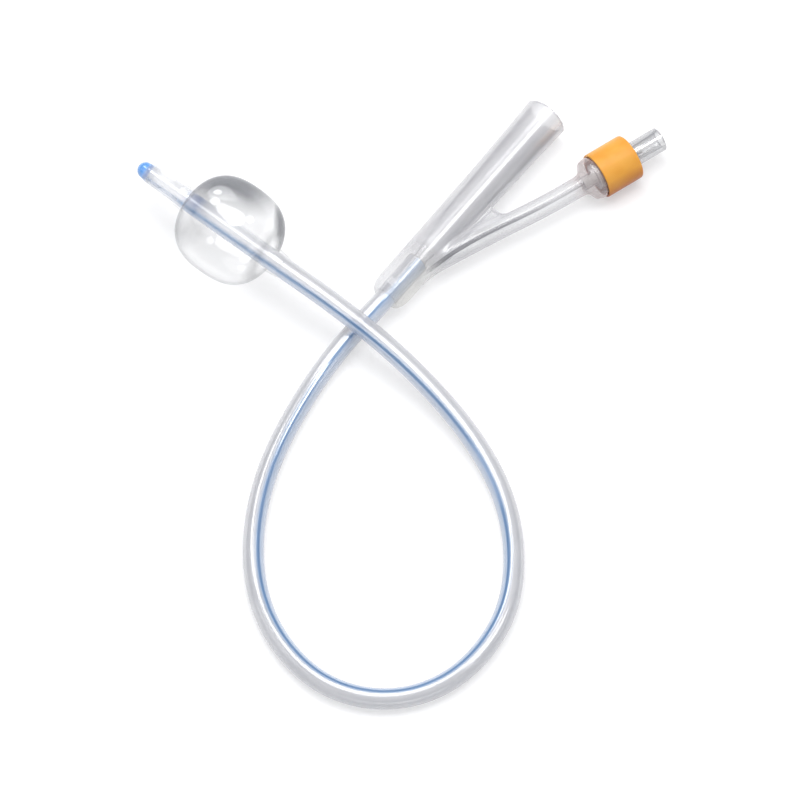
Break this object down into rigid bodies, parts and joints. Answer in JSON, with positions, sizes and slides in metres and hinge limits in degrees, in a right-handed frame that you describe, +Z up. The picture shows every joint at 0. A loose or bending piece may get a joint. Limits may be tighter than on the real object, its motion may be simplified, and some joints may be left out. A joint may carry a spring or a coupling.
{
  "type": "foley urinary catheter",
  "caption": "Two-way silicone urinary catheter with a filled balloon, drainage funnel, inflation arm and check valve, lying in a crossed loop.",
  "frame": {"origin": "centre of the whole part's footprint, on the table it lies on", "axes": "+Y along the drainage funnel, towards its mouth; +Z up from the table"},
  "size_m": [0.1523, 0.1778, 0.0254],
  "materials": {
    "clear_silicone": "translucent silicone, satin",
    "tip_blue": "blue silicone, satin",
    "balloon_film": "thin clear silicone film, glossy",
    "frosted_silicone": "frosted clear silicone",
    "sleeve_orange": "orange moulded plastic, satin",
    "clear_plastic": "clear moulded plastic, glossy",
    "valve_white": "natural white moulded plastic",
    "seal_rubber": "grey rubber, matt",
    "spring_steel": "drawn stainless wire"
  },
  "bodies": {
    "catheter": {"shaft": "clear_silicone", "tip": "tip_blue", "balloon": "balloon_film", "y_moulding": "frosted_silicone", "colour_sleeve": "sleeve_orange", "valve_housing": "clear_plastic", "valve_base": "valve_white", "valve_spring": "spring_steel"},
    "stem": {"valve_stem": "valve_white", "stem_seal": "seal_rubber"}
  },
  "joints": [
    {"name": "stem_push", "type": "slide", "parent": "catheter", "child": "stem", "axis": [-0.3123, -0.95, 0], "range_m": [0, 0.0015], "stiffness_N_per_m": 400, "springref_m": -0.001, "deforming": ["valve_spring"]}
  ]
}
